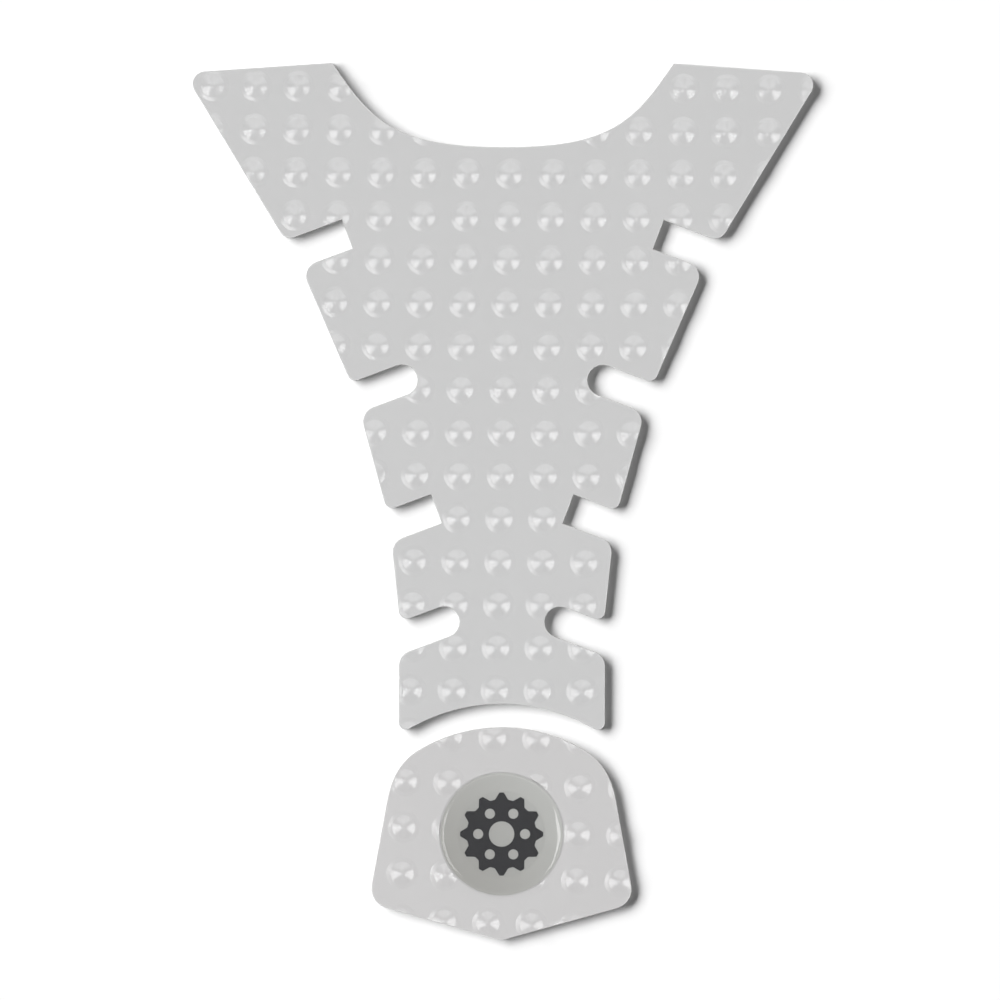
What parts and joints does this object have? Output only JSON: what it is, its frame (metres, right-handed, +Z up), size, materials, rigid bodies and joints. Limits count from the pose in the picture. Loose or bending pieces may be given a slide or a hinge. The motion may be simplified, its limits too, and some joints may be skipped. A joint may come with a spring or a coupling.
{
  "type": "motorcycle tank pad",
  "caption": "Clear studded motorcycle tank pad set: a slotted spine with a fuel-cap bay and a small shield with a round resin-domed badge, each on an adhesive film.",
  "frame": {"origin": "middle of the set's outline, on the underside of the adhesive films", "axes": "+X across the pad to the rider's right as it lies on the tank, +Y along the pad from the shield towards the fuel cap, +Z up off the tank"},
  "size_m": [0.1404, 0.1984, 0.0033],
  "materials": {
    "clear_sheet": "gloss",
    "adhesive_film": "satin",
    "badge_film": "satin",
    "print_ink": "matte",
    "dome_resin": "gloss"
  },
  "bodies": {
    "root": {"spine_adhesive": "adhesive_film", "spine_pad": "clear_sheet", "shield_adhesive": "adhesive_film", "shield_pad": "clear_sheet", "badge_disc": "badge_film", "badge_print": "print_ink", "badge_dome": "dome_resin"}
  },
  "joints": []
}
